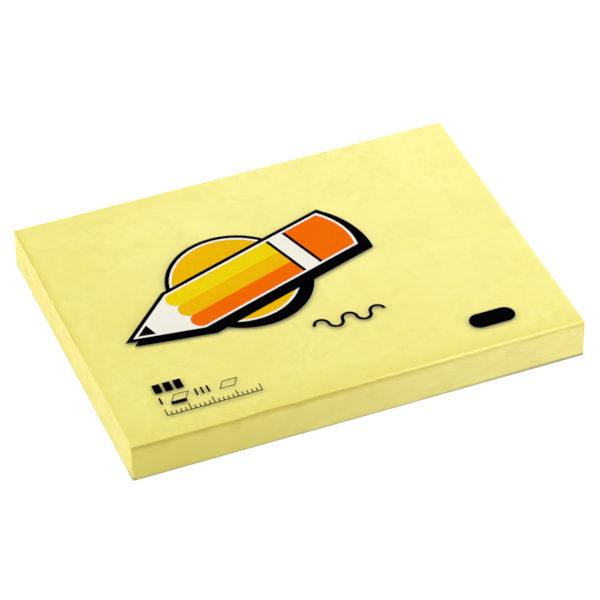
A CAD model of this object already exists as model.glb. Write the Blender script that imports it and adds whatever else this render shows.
import math

import bmesh
import bpy
from mathutils import Matrix, Vector, noise


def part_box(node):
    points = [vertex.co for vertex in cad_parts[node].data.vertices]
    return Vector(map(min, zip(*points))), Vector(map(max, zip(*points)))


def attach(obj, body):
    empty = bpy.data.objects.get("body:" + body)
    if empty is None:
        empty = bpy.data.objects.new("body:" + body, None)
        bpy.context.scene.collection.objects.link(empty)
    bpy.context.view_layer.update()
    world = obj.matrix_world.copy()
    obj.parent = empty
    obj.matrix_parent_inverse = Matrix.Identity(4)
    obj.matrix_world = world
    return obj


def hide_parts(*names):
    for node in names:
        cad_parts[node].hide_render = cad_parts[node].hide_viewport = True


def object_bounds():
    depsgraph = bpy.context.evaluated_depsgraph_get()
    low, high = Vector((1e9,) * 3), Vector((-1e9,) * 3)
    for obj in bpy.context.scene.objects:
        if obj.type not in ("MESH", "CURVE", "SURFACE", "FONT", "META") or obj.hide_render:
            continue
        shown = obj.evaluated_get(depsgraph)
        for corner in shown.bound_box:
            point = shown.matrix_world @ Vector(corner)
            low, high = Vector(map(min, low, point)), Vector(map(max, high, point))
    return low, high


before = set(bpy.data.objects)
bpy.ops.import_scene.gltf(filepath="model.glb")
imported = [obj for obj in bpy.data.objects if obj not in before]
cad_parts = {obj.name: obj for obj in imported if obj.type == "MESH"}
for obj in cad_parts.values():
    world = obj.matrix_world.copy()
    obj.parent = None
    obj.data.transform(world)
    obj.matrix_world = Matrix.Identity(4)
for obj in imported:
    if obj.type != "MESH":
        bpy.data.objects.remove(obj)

# Sticky note pad in its clear printed wrap. Lengths are in metres, in the shared frame.
MM = 0.001

cad_low, cad_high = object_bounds()
sheets_low, sheets_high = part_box("note_sheets")
wrap_low, wrap_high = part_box("clear_wrap")

# Notes
SHEET_COUNT = 100
SHEET_GRID = 3.0 * MM
EDGE_GROOVE = 0.022 * MM
CUT_WANDER = 0.035 * MM
SHEET_JOG = 0.012 * MM
LIP_SHEETS = 7
LIP_SOFT_SHEETS = 2
LIP_RECESS = 0.055 * MM
LIP_FADE = (15 * MM, -15 * MM)
FRONT_GAP_SHEETS = (92, 95)
FRONT_GAP = 0.30 * MM
WORN_CORNER = 3.2 * MM
WORN_SHEETS = 5
WORN_DEPTH = 0.8 * MM
DROOP = 0.22 * MM
DROOP_LENGTH = 8.0 * MM
DROOP_GRID = 0.8 * MM
DROOP_WAVE = 0.9
PRESSED_BAND = 1.55 * MM
BAND_WAVE = 0.9 * MM
BAND_FADE = (-8 * MM, 22 * MM)
BAND_SOFT = (-0.35 * MM, 0.75 * MM)
FRONT_SIDE = (1.0 * MM, 1.4 * MM)
FRONT_FADE = (-46 * MM, 26 * MM)
FOOT_FADE = (10 * MM, 48 * MM)
FOOT_HEIGHT = (0.15 * MM, 0.75 * MM)
EDGE_LINE_WIDTH = (0.20 * MM, 0.32 * MM)
EDGE_LINE_REACH = (-18 * MM, -8 * MM)
EDGE_LINE_DEPTH = (0.14 * MM, 0.06 * MM)
TOP_SHEET_WAVE = 0.03 * MM
PUCKER = 0.035 * MM
PUCKER_TURN = math.radians(21.5)
PUCKER_FADE = (-30 * MM, 14 * MM)

# Film
FILM = 0.03 * MM
FILM_GRID = 1.3 * MM
END_GRID = 0.55 * MM
FOLD_RADIUS = 0.45 * MM
FOLD_STEPS = 4
TOP_SLACK = 0.13 * MM
TAUT_RIM = (0.3 * MM, 7 * MM)
RIPPLE_HEIGHT = 0.010 * MM
RIPPLE_PITCH = 2.3 * MM
RIPPLE_LEFT = (42 * MM, 12 * MM)
RIPPLE_NEAR = (66 * MM, 44 * MM)
WALL_SLACK = 0.05 * MM
WALL_FADE = 1.5 * MM
CORNER_FADE = 5 * MM
RIM_SAG = 0.16 * MM
SAG_FADE = (28 * MM, -20 * MM)
FRONT_FALL = 0.25 * MM
FALL_LENGTH = 7.0 * MM
FALL_HEIGHT = 2.5 * MM
CREASE_START = -18.0 * MM
CREASE_FULL = 16.0 * MM
CREASE_RUN = 0.55 * MM
CREASE_SLOPE = math.radians(21)
CREASE_NICKS = (7.6 * MM, 34.5 * MM)
NICK_WIDTH = 0.9 * MM
NICK_DEPTH = 0.12 * MM
FLAP_LENGTH = 7.0 * MM
FLAP_EDGE = 0.2 * MM
SEAM_LAP = 14.0 * MM
SEAM_OFFSET = 6.0 * MM
LAP_LAYERS = 1.9
FILM_GLOSS = 0.02
FILM_ROUGHNESS = (0.22, 0.30)
CREASE_ROUGHNESS = (0.10, 0.16)

# Print
PRINT_GRID = 1.3 * MM
MERGE_DISTANCE = 0.001 * MM
FLAT_ANGLE = 0.001

# Camera, fitted to the seven visible corners of the pad in the 600 x 600 photograph
CAMERA_AZIMUTH = math.radians(-21.514)
CAMERA_ELEVATION = math.radians(39.998)
CAMERA_ROLL = math.radians(-0.800)
CAMERA_DISTANCE = 0.7229
CAMERA_PAN = (0.001111, 0.001871)
FOCAL_PIXELS = 3330.6
PHOTO_PIXELS = 600
SENSOR = 36.0
CLIP_START = 0.01

# Lamps, each with its name, place, width and height, and power in watts
LAMPS = (
    ("behind", (0.365, 0.549, 0.43), (0.52, 0.22), 2.20),
    ("overhead_right", (0.34, -0.06, 0.77), (0.24, 0.26), 0.90),
    ("behind_left", (-0.50, 0.44, 0.50), (0.28, 0.28), 1.45),
    ("left", (-0.60, 0.04, 0.22), (0.40, 0.30), 2.02),
    ("front_right", (0.37, -0.34, 0.15), (0.25, 0.25), 1.75),
)
WORLD_FILL = 0.15
FLOOR_LIFT = 0.6
FLOOR_HALF = 3.0
FLOOR_DROP = 0.02 * MM

# Inks, each with its node, slot, sRGB colour and the colour of its paler or darker parts
INKS = (
    ("print_black", "black_ink", (3, 2, 4), (10, 8, 11)),
    ("print_white", "white_ink", (255, 253, 242), (250, 247, 228)),
    ("print_gold", "gold_ink", (252, 196, 9), (245, 184, 7)),
    ("print_yellow", "yellow_ink", (253, 224, 14), (247, 213, 10)),
    ("print_orange", "orange_ink", (255, 115, 5), (252, 105, 5)),
)


def smooth_step(low, high, value):
    """0 on the low side, 1 on the high side, and a smooth step between. High may be the smaller one."""
    t = min(max((value - low) / (high - low), 0.0), 1.0)
    return t * t * (3 - 2 * t)


def drift(seed, *place):
    """Smooth noise between about -1 and 1 at a place given in noise units."""
    padded = list(place) + [0.0] * (2 - len(place))
    return noise.noise(Vector((padded[0] + seed * 17.3, padded[1] - seed * 9.1, seed * 5.7)))


def even_lines(low, high, step):
    """Evenly spaced values from low to high, about step apart."""
    count = max(1, round((high - low) / step))
    return [low + (high - low) * i / count for i in range(count + 1)]


def mesh_piece(name, verts, faces, material, smooth=True):
    """A mesh object that rides on the pad."""
    mesh = bpy.data.meshes.new(name)
    mesh.from_pydata([tuple(v) for v in verts], [], faces)
    mesh.materials.append(material)
    mesh.polygons.foreach_set("use_smooth", [smooth] * len(mesh.polygons))
    mesh.update()
    piece = bpy.data.objects.new(name, mesh)
    bpy.context.scene.collection.objects.link(piece)
    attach(piece, "root")
    return piece


# Materials

def to_linear(colour):
    """An sRGB colour in 0 to 255 as linear RGBA."""
    def channel(value):
        v = value / 255
        return v / 12.92 if v <= 0.04045 else ((v + 0.055) / 1.055) ** 2.4
    return tuple(channel(value) for value in colour) + (1.0,)


def new_material(name):
    """A new material, its node tree and its Principled shader."""
    material = bpy.data.materials.new(name)
    material.use_nodes = True
    return material, material.node_tree, material.node_tree.nodes["Principled BSDF"]


def add_node(tree, kind, **values):
    """A node with its sockets and properties set."""
    node = tree.nodes.new(kind)
    for key, value in values.items():
        if key in node.inputs:
            node.inputs[key].default_value = value
        else:
            setattr(node, key, value)
    return node


def scaled_place(tree, scale, turn=0.0):
    """The object coordinates turned round z, then times scale, one value for each axis, in 1/m."""
    place = add_node(tree, "ShaderNodeTexCoord")
    turned = add_node(tree, "ShaderNodeVectorRotate", rotation_type="Z_AXIS", Angle=turn)
    tree.links.new(place.outputs["Object"], turned.inputs["Vector"])
    mapping = add_node(tree, "ShaderNodeMapping")
    mapping.inputs["Scale"].default_value = scale
    tree.links.new(turned.outputs["Vector"], mapping.inputs["Vector"])
    return mapping.outputs["Vector"]


def noise_value(tree, scale, detail=3.0, rough=0.55, turn=0.0):
    """Noise over the object at a scale for each axis, in 1/m."""
    node = add_node(tree, "ShaderNodeTexNoise", Scale=1.0, Detail=detail, Roughness=rough)
    tree.links.new(scaled_place(tree, scale, turn), node.inputs["Vector"])
    return node.outputs["Fac"]


def place_value(tree, axis):
    """The object coordinate along one axis, X, Y or Z, in metres."""
    place = add_node(tree, "ShaderNodeTexCoord")
    split = add_node(tree, "ShaderNodeSeparateXYZ")
    tree.links.new(place.outputs["Object"], split.inputs["Vector"])
    return split.outputs[axis]


def remap(tree, value, low, high, out_low=0.0, out_high=1.0):
    """The value's range from low to high, as out_low to out_high."""
    node = add_node(tree, "ShaderNodeMapRange")
    node.inputs["From Min"].default_value = low
    node.inputs["From Max"].default_value = high
    node.inputs["To Min"].default_value = out_low
    node.inputs["To Max"].default_value = out_high
    tree.links.new(value, node.inputs["Value"])
    return node.outputs["Result"]


def combine(tree, first, second, operation):
    """Two values put together by a math operation, the second a socket or a number."""
    node = add_node(tree, "ShaderNodeMath", operation=operation)
    tree.links.new(first, node.inputs[0])
    if isinstance(second, (int, float)):
        node.inputs[1].default_value = second
    else:
        tree.links.new(second, node.inputs[1])
    return node.outputs["Value"]


def times(tree, first, second):
    """The product of two values, the second a socket or a number."""
    return combine(tree, first, second, "MULTIPLY")


def blend_colour(tree, amount, first, second):
    """The first colour, going over to the second by amount. Either may be a socket or RGBA."""
    node = add_node(tree, "ShaderNodeMix", data_type="RGBA")
    tree.links.new(amount, node.inputs["Factor"])
    for socket, colour in ((node.inputs[6], first), (node.inputs[7], second)):
        if isinstance(colour, tuple):
            socket.default_value = colour
        else:
            tree.links.new(colour, socket)
    return node.outputs[2]


def add_bump(tree, shader, height, distance, strength=1.0):
    """Relief of that depth in metres on the shader."""
    bump = add_node(tree, "ShaderNodeBump", Strength=strength, Distance=distance)
    tree.links.new(height, bump.inputs["Height"])
    tree.links.new(bump.outputs["Normal"], shader.inputs["Normal"])


def side_mask(tree):
    """1 on upright faces, 0 on level ones."""
    geometry = add_node(tree, "ShaderNodeNewGeometry")
    split = add_node(tree, "ShaderNodeSeparateXYZ")
    tree.links.new(geometry.outputs["Normal"], split.inputs["Vector"])
    size = add_node(tree, "ShaderNodeMath", operation="ABSOLUTE")
    tree.links.new(split.outputs["Z"], size.inputs[0])
    return remap(tree, size.outputs["Value"], 0.75, 0.9, 1.0, 0.0)


def front_side(tree):
    """1 close to the front side, and 0 further back."""
    near, far = (sheets_low.y + depth for depth in FRONT_SIDE)
    return remap(tree, place_value(tree, "Y"), near, far, 1.0, 0.0)


def pressed_band(tree, side):
    """The soft darker band under the left half of the front top edge, where the film presses the notes."""
    front = front_side(tree)
    left = remap(tree, place_value(tree, "X"), *BAND_FADE, 1.0, 0.15)
    wave = times(tree, noise_value(tree, (170, 0, 0), 2.0), 2 * BAND_WAVE)
    level = combine(tree, place_value(tree, "Z"), wave, "ADD")
    edge = sheets_high.z - PRESSED_BAND + BAND_WAVE
    high = remap(tree, level, edge + BAND_SOFT[0], edge + BAND_SOFT[1])
    uneven = remap(tree, noise_value(tree, (160, 160, 900), 2.0), 0.3, 0.6, 0.7, 1.0)
    return times(tree, times(tree, times(tree, front, left), times(tree, high, uneven)), side)


def front_left(tree, side):
    """The cut edges of the front side, from none at the right to nearly all at the left end."""
    front = front_side(tree)
    left = remap(tree, place_value(tree, "X"), *FRONT_FADE, 0.85, 0.0)
    return times(tree, times(tree, front, left), side)


def dark_foot(tree, side):
    """The thin dark line along the foot of the front side, strongest at its right end."""
    front = front_side(tree)
    right = remap(tree, place_value(tree, "X"), *FOOT_FADE, 0.05, 0.8)
    low, high = (sheets_low.z + height for height in FOOT_HEIGHT)
    foot = remap(tree, place_value(tree, "Z"), low, high, 1.0, 0.0)
    return times(tree, times(tree, times(tree, front, right), foot), side)


def left_edge_line(tree):
    """The thin broken dark line along the back half of the top's left edge."""
    near, far = (sheets_low.x + width for width in EDGE_LINE_WIDTH)
    edge = remap(tree, place_value(tree, "X"), near, far, 1.0, 0.0)
    back = remap(tree, place_value(tree, "Y"), *EDGE_LINE_REACH)
    low, high = (sheets_high.z - depth for depth in EDGE_LINE_DEPTH)
    level = remap(tree, place_value(tree, "Z"), low, high)
    broken = remap(tree, noise_value(tree, (60, 240, 60), 2.0), 0.42, 0.52)
    return times(tree, times(tree, edge, back), times(tree, level, broken))


def top_puckers(tree, side):
    """Fine puckers across the left part of the top sheet, nearly level with the front edge's far corner."""
    crests = noise_value(tree, (110, 900, 110), 2.0, 0.5, PUCKER_TURN)
    left = remap(tree, place_value(tree, "X"), *PUCKER_FADE, 1.0, 0.12)
    flat = remap(tree, side, 0.0, 1.0, 1.0, 0.0)
    return times(tree, times(tree, crests, left), flat)


def note_paper():
    """Pale yellow uncoated paper: cloudy fibre on the faces, and fine lines and flecks on the cut sides."""
    material, tree, shader = new_material("yellow_note_paper")
    body = to_linear((249, 241, 126))
    deeper = to_linear((244, 233, 108))
    clouded = to_linear((243, 233, 101))
    cut = to_linear((249, 241, 154))
    deeper_cut = to_linear((245, 234, 142))
    deeper_front = to_linear((239, 229, 103))
    pressed = to_linear((219, 203, 70))
    groove = to_linear((233, 221, 127))
    fleck = to_linear((176, 164, 76))
    foot = to_linear((150, 143, 96))
    side = side_mask(tree)

    cloud = remap(tree, noise_value(tree, (70, 70, 70), 4.0), 0.35, 0.7)
    colour = blend_colour(tree, cloud, body, deeper)
    mottle = remap(tree, noise_value(tree, (600, 600, 600), 4.0, 0.7), 0.4, 0.62, 0.0, 0.9)
    colour = blend_colour(tree, mottle, colour, clouded)
    fibre = remap(tree, noise_value(tree, (1600, 5200, 3000), 3.0), 0.52, 0.75, 0.0, 0.35)
    colour = blend_colour(tree, fibre, colour, deeper)
    uneven_cut = remap(tree, noise_value(tree, (240, 240, 420), 3.0), 0.4, 0.65)
    colour = blend_colour(tree, side, colour, blend_colour(tree, uneven_cut, cut, deeper_cut))
    lines = remap(tree, noise_value(tree, (60, 60, 11000), 2.0), 0.45, 0.75, 0.0, 0.55)
    colour = blend_colour(tree, times(tree, lines, side), colour, groove)
    specks = remap(tree, noise_value(tree, (1100, 1100, 2400), 1.0), 0.735, 0.78)
    colour = blend_colour(tree, times(tree, times(tree, specks, side), 0.5), colour, fleck)
    colour = blend_colour(tree, front_left(tree, side), colour, deeper_front)
    colour = blend_colour(tree, dark_foot(tree, side), colour, foot)
    colour = blend_colour(tree, pressed_band(tree, side), colour, pressed)
    colour = blend_colour(tree, left_edge_line(tree), colour, pressed)
    tree.links.new(colour, shader.inputs["Base Color"])

    rough = remap(tree, noise_value(tree, (900, 900, 900), 2.0), 0.3, 0.7, 0.78, 0.9)
    tree.links.new(rough, shader.inputs["Roughness"])
    shader.inputs["Specular IOR Level"].default_value = 0.25
    grain = times(tree, noise_value(tree, (2600, 5200, 4200), 4.0), 0.4)
    add_bump(tree, shader, combine(tree, grain, top_puckers(tree, side), "ADD"), PUCKER)
    return material


def liner_paper():
    """The smooth grey-green release liner."""
    material, tree, shader = new_material("release_liner")
    cloud = remap(tree, noise_value(tree, (120, 120, 120), 4.0), 0.35, 0.7)
    colour = blend_colour(tree, cloud, to_linear((196, 199, 178)), to_linear((184, 188, 166)))
    tree.links.new(colour, shader.inputs["Base Color"])
    rough = remap(tree, noise_value(tree, (800, 800, 800), 2.0), 0.3, 0.7, 0.38, 0.5)
    tree.links.new(rough, shader.inputs["Roughness"])
    add_bump(tree, shader, noise_value(tree, (2500, 2500, 2500), 3.0), 0.01 * MM, 0.2)
    return material


def tacky_gum():
    """The thin beaded layer of low-tack gum."""
    material, tree, shader = new_material("low_tack_gum")
    beads = noise_value(tree, (9000, 9000, 9000), 1.0)
    colour = blend_colour(tree, beads, to_linear((240, 234, 178)), to_linear((228, 220, 150)))
    tree.links.new(colour, shader.inputs["Base Color"])
    shader.inputs["Roughness"].default_value = 0.45
    add_bump(tree, shader, beads, 0.02 * MM, 0.6)
    return material


def clear_film(name, roughness):
    """Thin clear film. Nearly everything shows through it, and it mirrors a little."""
    material, tree, shader = new_material(name)
    shader.inputs["Base Color"].default_value = (0.97, 0.97, 0.95, 1.0)
    shader.inputs["Metallic"].default_value = 1.0
    shader.inputs["Alpha"].default_value = FILM_GLOSS
    rough = remap(tree, noise_value(tree, (160, 160, 160), 3.0), 0.3, 0.7, *roughness)
    tree.links.new(rough, shader.inputs["Roughness"])
    add_bump(tree, shader, noise_value(tree, (420, 420, 420), 3.0), 0.02 * MM, 0.25)
    return material


def printed_ink(name, colour, worn):
    """Gravure ink on film: an even field with a faint mottle, a little darker or paler by turns."""
    material, tree, shader = new_material(name)
    mottle = remap(tree, noise_value(tree, (900, 900, 900), 4.0, 0.65), 0.4, 0.72, 0.0, 0.6)
    mixed = blend_colour(tree, mottle, to_linear(colour), to_linear(worn))
    broad = remap(tree, noise_value(tree, (110, 110, 110), 2.0), 0.4, 0.7, 0.0, 0.35)
    mixed = blend_colour(tree, broad, mixed, to_linear(worn))
    tree.links.new(mixed, shader.inputs["Base Color"])
    rough = remap(tree, noise_value(tree, (500, 500, 500), 2.0), 0.3, 0.7, 0.28, 0.4)
    tree.links.new(rough, shader.inputs["Roughness"])
    shader.inputs["Specular IOR Level"].default_value = 0.0
    add_bump(tree, shader, noise_value(tree, (2200, 2200, 2200), 2.0), 0.004 * MM, 0.3)
    return material


# The block of notes

def cut_offset(side, sheet, along):
    """How far a sheet's cut edge stands back from the block's face, at a place along that side."""
    wander = CUT_WANDER * (0.5 + 0.5 * drift(side, sheet * 0.06, along * 35))
    jog = SHEET_JOG * (0.5 + 0.5 * drift(side + 4, sheet * 1.7, along * 12))
    return wander + jog + edge_wear(side, sheet, along)


def edge_wear(side, sheet, along):
    """How much further the sheets stand back: a lip, a slit near the front top edge and a worn corner."""
    if side == 0:
        left = smooth_step(*LIP_FADE, along)
        lip = SHEET_COUNT - LIP_SHEETS
        below_lip = smooth_step(lip, lip - LIP_SOFT_SHEETS, sheet)
        in_gap = FRONT_GAP_SHEETS[0] <= sheet < FRONT_GAP_SHEETS[1]
        open_gap = 0.6 + 0.4 * drift(51, along * 260)
        return LIP_RECESS * below_lip * left + (FRONT_GAP * open_gap if in_gap else 0.0)
    if side == 3 and sheet < WORN_SHEETS:
        return WORN_DEPTH * smooth_step(sheets_low.y + WORN_CORNER, sheets_low.y + WORN_CORNER / 2, along)
    return 0.0


def front_droop(x, y, level):
    """How far the sheets are drawn down near the front edge, in an uneven wave, most at the top."""
    near = smooth_step(sheets_low.y + DROOP_LENGTH, sheets_low.y - DROOP_LENGTH, y) * 2
    height = (level - sheets_low.z) / (sheets_high.z - sheets_low.z)
    return DROOP * (1 + DROOP_WAVE * drift(55, x * 120)) * near * max(height, 0.0) ** 4


def block_outline(xs, ys):
    """The grid points round the block, anticlockwise from the front left corner, as (x index, y index)."""
    nx = len(xs) - 1
    ny = len(ys) - 1
    front = [(i, 0) for i in range(nx)]
    right = [(nx, j) for j in range(ny)]
    back = [(nx - i, ny) for i in range(nx)]
    left = [(0, ny - j) for j in range(ny)]
    return front + right + back + left


def block_ring(xs, ys, outline, sheet, level, inset):
    """One ring of points round a sheet."""
    nx = len(xs) - 1
    ny = len(ys) - 1
    ring = []
    for i, j in outline:
        x = xs[i]
        y = ys[j]
        if j in (0, ny):
            inward = 1 if j == 0 else -1
            y += inward * (inset + cut_offset(0 if j == 0 else 2, sheet, xs[i]))
        if i in (0, nx):
            inward = 1 if i == 0 else -1
            x += inward * (inset + cut_offset(3 if i == 0 else 1, sheet, ys[j]))
        ring.append(Vector((x, y, level - front_droop(xs[i], ys[j], level))))
    return ring


def note_block(material):
    """A hundred sheets, each with its own cut edge, under one nearly flat top sheet."""
    xs = even_lines(sheets_low.x, sheets_high.x, SHEET_GRID)
    front_lines = even_lines(sheets_low.y, sheets_low.y + DROOP_LENGTH, DROOP_GRID)
    ys = front_lines[:-1] + even_lines(sheets_low.y + DROOP_LENGTH, sheets_high.y, SHEET_GRID)
    outline = block_outline(xs, ys)
    count = len(outline)
    pitch = (sheets_high.z - sheets_low.z) / SHEET_COUNT

    verts = []
    for sheet in range(SHEET_COUNT):
        level = sheets_low.z + sheet * pitch
        for share, inset in ((0.0, EDGE_GROOVE), (0.25, 0.0), (0.75, 0.0)):
            verts += block_ring(xs, ys, outline, sheet, level + share * pitch, inset)
    verts += block_ring(xs, ys, outline, SHEET_COUNT - 1, sheets_high.z, EDGE_GROOVE / 2)

    faces = []
    rings = len(verts) // count
    for ring in range(rings - 1):
        for k in range(count):
            a = ring * count + k
            b = ring * count + (k + 1) % count
            faces.append((a, b, b + count, a + count))

    def add_cap(first, level, wave):
        index = {place: first + k for k, place in enumerate(outline)}
        for i in range(1, len(xs) - 1):
            for j in range(1, len(ys) - 1):
                index[(i, j)] = len(verts)
                z = level - wave * (0.5 + 0.5 * drift(9, xs[i] * 45, ys[j] * 45))
                verts.append(Vector((xs[i], ys[j], z - front_droop(xs[i], ys[j], level))))
        cells = [(i, j) for i in range(len(xs) - 1) for j in range(len(ys) - 1)]
        return [
            (index[(i, j)], index[(i + 1, j)], index[(i + 1, j + 1)], index[(i, j + 1)])
            for i, j in cells
        ]

    faces += add_cap((rings - 1) * count, sheets_high.z, TOP_SHEET_WAVE)
    faces += [tuple(reversed(face)) for face in add_cap(0, sheets_low.z, 0.0)]
    piece = mesh_piece("note_block", verts, faces, material, smooth=False)
    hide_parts("note_sheets")


# The film

def top_slack(x, y):
    """How far the film's top lies under its highest level at (x, y). It is taut at the rim."""
    from_rim = min(x - wrap_low.x, wrap_high.x - x, y - wrap_low.y, wrap_high.y - y)
    taut = smooth_step(*TAUT_RIM, from_rim)
    broad = 0.5 + 0.5 * drift(21, x * 32, y * 32)
    left = smooth_step(*(wrap_low.x + reach for reach in RIPPLE_LEFT), x)
    near = smooth_step(*(wrap_low.y + reach for reach in RIPPLE_NEAR), y)
    phase = (y + 0.40 * x) / RIPPLE_PITCH + 1.6 * drift(22, x * 45, y * 45)
    ripple = math.sin(2 * math.pi * phase) * (0.5 + 0.5 * drift(23, x * 90, y * 90))
    return taut * (TOP_SLACK * broad + RIPPLE_HEIGHT * (1 + ripple * (0.25 + left * near)))


def front_fall(x, y):
    """How far the top comes down towards the front rim at (x, y). The rim's left half sags further."""
    near = max(0.0, 1 - (y - wrap_low.y) / FALL_LENGTH)
    sag = RIM_SAG * smooth_step(*SAG_FADE, x) * (0.75 + 0.25 * drift(31, x * 150))
    return near ** 2 * (FRONT_FALL + sag)


def crease_level(y, low, high):
    """The level of the sloping crease at y, under the top's level only close to the front side."""
    return high.z - math.tan(CREASE_SLOPE) * (CREASE_RUN - (y - low.y))


def creased(point, low, high):
    """How far the round front rim is pressed down into the flat sloping crease along its right half."""
    above = point.z - crease_level(point.y, low, high)
    if above < 0:
        return 0.0
    nick = max(smooth_step(NICK_WIDTH, 0.0, abs(point.x - place)) for place in CREASE_NICKS)
    return above * smooth_step(CREASE_START, CREASE_FULL, point.x) + NICK_DEPTH * nick


def in_crease(centre, low, high):
    """Whether a face of the film lies in the crease, which is pulled smoother than the slack film."""
    near = centre.y - low.y < CREASE_RUN and centre.x > (CREASE_START + CREASE_FULL) / 2
    level = crease_level(centre.y, low, high) - front_fall(centre.x, centre.y)
    return near and abs(centre.z - level) < CREASE_RUN / 4


def fold_lines(low, high, step, soft_low=True):
    """Grid lines from low to high: close together where the film is folded round, and even between."""
    shares = [i / FOLD_STEPS for i in range(FOLD_STEPS)]
    start = [low + FOLD_RADIUS * s for s in shares] if soft_low else []
    end = [high - FOLD_RADIUS * s for s in reversed(shares)]
    flat_low = low + FOLD_RADIUS if soft_low else low
    return start + even_lines(flat_low, high - FOLD_RADIUS, step) + end


def folded(point, low, high):
    """The point of the box's surface moved onto its round folds. The folds round the base stay crisp."""
    core = Vector((
        min(max(point.x, low.x + FOLD_RADIUS), high.x - FOLD_RADIUS),
        min(max(point.y, low.y + FOLD_RADIUS), high.y - FOLD_RADIUS),
        min(point.z, high.z - FOLD_RADIUS),
    ))
    out = point - core
    if out.length < 1e-9:
        return point.copy()
    inside = sum(abs(value) > 1e-9 for value in out)
    if inside == 1:
        return core + out.normalized() * min(out.length, FOLD_RADIUS)
    return core + out.normalized() * FOLD_RADIUS


def flap_layers(y, z, low, high):
    """How many flaps lie on an end wall at (y, z). Their sides lean in at 45 degrees from their folds."""
    half_base = high.y - FOLD_RADIUS
    layers = 0.0
    for from_fold in (z - low.z, high.z - FOLD_RADIUS - z):
        from_edge = min(FLAP_LENGTH - from_fold, (half_base - from_fold - abs(y)) * math.sqrt(0.5))
        layers += smooth_step(-FLAP_EDGE, FLAP_EDGE, from_edge) if from_fold >= 0 else 0.0
    return layers


def slack_film(point, low, high):
    """The point with the film's slack: waves in the top, hollows in the walls, and the front rim's
    sag and crease. The end walls also stand out by the thickness of the flaps folded over them."""
    x, y, z = point
    moved = point.copy()
    level = smooth_step(high.z - FOLD_RADIUS, high.z, z)
    moved.z -= level * top_slack(x, y)
    mid_height = smooth_step(low.z, low.z + WALL_FADE, z) * smooth_step(high.z, high.z - WALL_FADE, z)
    if abs(y) > high.y - FOLD_RADIUS:
        fade = smooth_step(high.x, high.x - CORNER_FADE, abs(x))
        hollow = WALL_SLACK * (0.5 + 0.5 * drift(41 if y < 0 else 42, x * 60, z * 130))
        moved.y -= math.copysign(hollow * mid_height * fade, y)
    if abs(x) > high.x - FOLD_RADIUS:
        fade = smooth_step(high.y, high.y - CORNER_FADE, abs(y))
        hollow = WALL_SLACK * (0.5 + 0.5 * drift(43 if x < 0 else 44, y * 60, z * 130))
        moved.x += math.copysign(FILM * flap_layers(y, z, low, high) - hollow * mid_height * fade, x)
    moved.z -= smooth_step(high.z - FALL_HEIGHT, high.z - FOLD_RADIUS, z) * front_fall(x, y)
    moved.z -= creased(point, low, high)
    return moved


def film_box(low, high):
    """(vertices, faces) of the wrap's outside: a closed box with round folds and slack walls."""
    xs = fold_lines(low.x, high.x, FILM_GRID)
    ys = sorted(fold_lines(low.y, high.y, END_GRID) + [low.y + CREASE_RUN])
    zs = fold_lines(low.z, high.z, END_GRID, soft_low=False)
    verts = []
    index = {}

    def at(i, j, k):
        key = (i, j, k)
        if key not in index:
            index[key] = len(verts)
            verts.append(slack_film(folded(Vector((xs[i], ys[j], zs[k])), low, high), low, high))
        return index[key]

    nx = len(xs) - 1
    ny = len(ys) - 1
    nz = len(zs) - 1
    faces = []
    for i in range(nx):
        for j in range(ny):
            faces.append((at(i, j, nz), at(i + 1, j, nz), at(i + 1, j + 1, nz), at(i, j + 1, nz)))
            faces.append((at(i, j, 0), at(i, j + 1, 0), at(i + 1, j + 1, 0), at(i + 1, j, 0)))
    for k in range(nz):
        for i in range(nx):
            faces.append((at(i, 0, k), at(i + 1, 0, k), at(i + 1, 0, k + 1), at(i, 0, k + 1)))
            faces.append((at(i, ny, k), at(i, ny, k + 1), at(i + 1, ny, k + 1), at(i + 1, ny, k)))
        for j in range(ny):
            faces.append((at(nx, j, k), at(nx, j + 1, k), at(nx, j + 1, k + 1), at(nx, j, k + 1)))
            faces.append((at(0, j, k), at(0, j, k + 1), at(0, j + 1, k + 1), at(0, j + 1, k)))
    return verts, faces


def film_wrap(material, crease):
    """The whole wrap, as thick as the film, and nearly twice that where its edges lap under the pad."""
    flaps = 2 * FILM
    low = Vector((wrap_low.x + flaps, wrap_low.y, wrap_low.z))
    high = Vector((wrap_high.x - flaps, wrap_high.y, wrap_high.z))
    outside, faces = film_box(low, high)
    shell = bpy.data.meshes.new("film_outside")
    shell.from_pydata([tuple(v) for v in outside], [], faces)
    inside = []
    for vert in shell.vertices:
        lapped = vert.co.z < FILM and abs(vert.co.y - SEAM_OFFSET) < SEAM_LAP / 2
        inside.append(vert.co - vert.normal * FILM * (LAP_LAYERS if lapped else 1.0))
    bpy.data.meshes.remove(shell)
    count = len(outside)
    lining = [tuple(count + v for v in reversed(face)) for face in faces]
    piece = mesh_piece("film_wrap", outside + inside, faces + lining, material)
    piece.data.materials.append(crease)
    for face in piece.data.polygons:
        face.material_index = 1 if in_crease(face.center, low, high) else 0
    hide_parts("clear_wrap")


# The print

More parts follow.
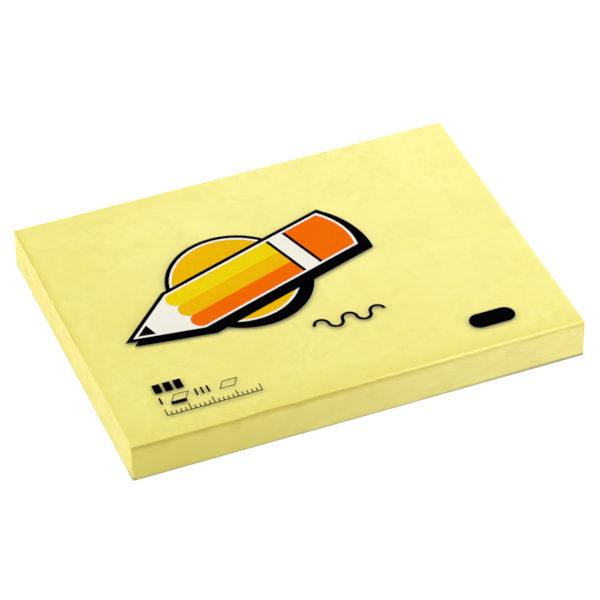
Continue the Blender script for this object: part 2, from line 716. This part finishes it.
def printed_piece(node, material):
    """A field of ink as the frame has it, cut along a fine grid and laid on the slack film."""
    name = node + "_on_film"
    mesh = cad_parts[node].data.copy()
    mesh.name = name
    sheet = bmesh.new()
    sheet.from_mesh(mesh)
    low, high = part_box(node)
    bmesh.ops.remove_doubles(sheet, verts=sheet.verts, dist=MERGE_DISTANCE)
    bmesh.ops.dissolve_limit(sheet, angle_limit=FLAT_ANGLE, verts=sheet.verts, edges=sheet.edges)
    for axis, values in (
        (Vector((1, 0, 0)), even_lines(low.x, high.x, PRINT_GRID)),
        (Vector((0, 1, 0)), even_lines(low.y, high.y, PRINT_GRID)),
    ):
        for value in values[1:-1]:
            everything = list(sheet.verts) + list(sheet.edges) + list(sheet.faces)
            bmesh.ops.bisect_plane(sheet, geom=everything, plane_co=axis * value, plane_no=axis)
    for vert in sheet.verts:
        vert.co.z -= top_slack(vert.co.x, vert.co.y) + front_fall(vert.co.x, vert.co.y)
    bmesh.ops.triangulate(sheet, faces=sheet.faces)
    sheet.to_mesh(mesh)
    sheet.free()
    mesh.materials.clear()
    mesh.materials.append(material)
    mesh.polygons.foreach_set("use_smooth", [False] * len(mesh.polygons))
    piece = bpy.data.objects.new(name, mesh)
    bpy.context.scene.collection.objects.link(piece)
    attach(piece, "root")
    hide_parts(node)


# Studio

def soft_box(name, place, target, size, power):
    """A rectangular lamp at place, facing target."""
    lamp = bpy.data.lights.new(name, "AREA")
    lamp.shape = "RECTANGLE"
    lamp.size, lamp.size_y = size
    lamp.energy = power
    holder = bpy.data.objects.new(name, lamp)
    holder.location = place
    holder.rotation_euler = (Vector(place) - Vector(target)).to_track_quat("Z", "Y").to_euler()
    bpy.context.scene.collection.objects.link(holder)


def seen_directly(tree):
    """1 for camera, mirrored and transmitted rays, and 0 for the rays that only light a surface."""
    rays = add_node(tree, "ShaderNodeLightPath").outputs
    mirrored = combine(tree, rays["Is Camera Ray"], rays["Is Glossy Ray"], "MAXIMUM")
    return combine(tree, mirrored, rays["Is Transmission Ray"], "MAXIMUM")


def white_world(fill):
    """A world that looks white, and lights the pad more weakly."""
    world = bpy.data.worlds.new("studio")
    bpy.context.scene.world = world
    world.use_nodes = True
    tree = world.node_tree
    background = tree.nodes["Background"]
    background.inputs["Color"].default_value = (1.0, 1.0, 1.0, 1.0)
    strength = remap(tree, seen_directly(tree), 0.0, 1.0, fill, 1.0)
    tree.links.new(strength, background.inputs["Strength"])


def pale_floor(lift):
    """A white floor that keeps the pad's shadow, lifted towards white where it is seen directly."""
    material, tree, shader = new_material("pale_floor")
    shader.inputs["Base Color"].default_value = (0.82, 0.82, 0.82, 1.0)
    shader.inputs["Roughness"].default_value = 0.9
    shader.inputs["Specular IOR Level"].default_value = 0.0
    shader.inputs["Emission Color"].default_value = (1.0, 1.0, 1.0, 1.0)
    strength = remap(tree, seen_directly(tree), 0.0, 1.0, 0.0, lift)
    tree.links.new(strength, shader.inputs["Emission Strength"])
    half = FLOOR_HALF
    level = cad_low.z - FLOOR_DROP
    mesh = bpy.data.meshes.new("floor")
    corners = [(-half, -half, level), (half, -half, level), (half, half, level), (-half, half, level)]
    mesh.from_pydata(corners, [], [(0, 1, 2, 3)])
    mesh.materials.append(material)
    floor = bpy.data.objects.new("floor", mesh)
    bpy.context.scene.collection.objects.link(floor)


def photo_camera():
    """The camera of the photograph."""
    azimuth, elevation, roll = CAMERA_AZIMUTH, CAMERA_ELEVATION, CAMERA_ROLL
    back = Vector((
        math.sin(azimuth) * math.cos(elevation),
        -math.cos(azimuth) * math.cos(elevation),
        math.sin(elevation),
    ))
    level = Vector((math.cos(azimuth), math.sin(azimuth), 0.0))
    upright = back.cross(level)
    right = level * math.cos(roll) + upright * math.sin(roll)
    up = upright * math.cos(roll) - level * math.sin(roll)
    data = bpy.data.cameras.new("photo_camera")
    data.sensor_width = SENSOR
    data.lens = FOCAL_PIXELS / PHOTO_PIXELS * SENSOR
    data.clip_start = CLIP_START
    camera = bpy.data.objects.new("photo_camera", data)
    place = back * CAMERA_DISTANCE + right * CAMERA_PAN[0] + up * CAMERA_PAN[1]
    turned = Matrix((right, up, back)).transposed().to_4x4()
    camera.matrix_world = Matrix.Translation(place) @ turned
    bpy.context.scene.collection.objects.link(camera)
    bpy.context.scene.camera = camera


note_block(note_paper())
film_wrap(clear_film("clear_film", FILM_ROUGHNESS), clear_film("creased_film", CREASE_ROUGHNESS))
for node, slot, colour, worn in INKS:
    printed_piece(node, printed_ink(slot, colour, worn))
for node, material in (("backing_sheet", liner_paper()), ("adhesive_strip", tacky_gum())):
    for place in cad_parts[node].material_slots:
        place.material = material

for name, place, size, power in LAMPS:
    soft_box(name, place, (0.0, 0.0, cad_high.z), size, power)
white_world(WORLD_FILL)
pale_floor(FLOOR_LIFT)
photo_camera()
bpy.context.scene.view_settings.view_transform = "Standard"
